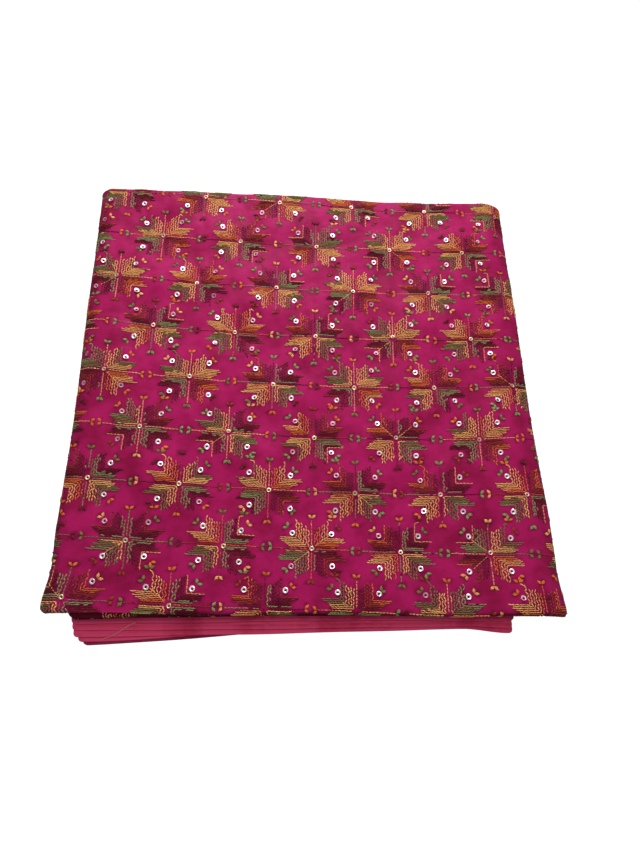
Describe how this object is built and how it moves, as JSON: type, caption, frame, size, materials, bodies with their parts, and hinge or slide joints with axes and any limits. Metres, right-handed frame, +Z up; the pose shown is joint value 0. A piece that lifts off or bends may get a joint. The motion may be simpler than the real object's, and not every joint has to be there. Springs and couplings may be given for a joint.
{
  "type": "folded phulkari shawl",
  "caption": "Embroidered satin shawl with a plain lining, folded into a flat square bundle whose fold edges step out at the front.",
  "frame": {"origin": "centre of the bundle's bounding box, on the surface it lies on", "axes": "+Z up through the folded layers, +X to the right and -Y towards the front, where the fold edges step out"},
  "size_m": [0.348, 0.3552, 0.0249],
  "materials": {
    "panel": "magenta satin with machine embroidery in variegated thread and small sequins",
    "panel_inner": "the same embroidered satin, shaded between its folds",
    "lining": "plain crimson pink satin weave"
  },
  "bodies": {
    "root": {"panel_outer_leaf": "panel", "panel_inner_folds": "panel_inner", "lining_upper_fold": "lining", "lining_middle_fold": "lining", "lining_lower_fold": "lining"}
  },
  "joints": []
}
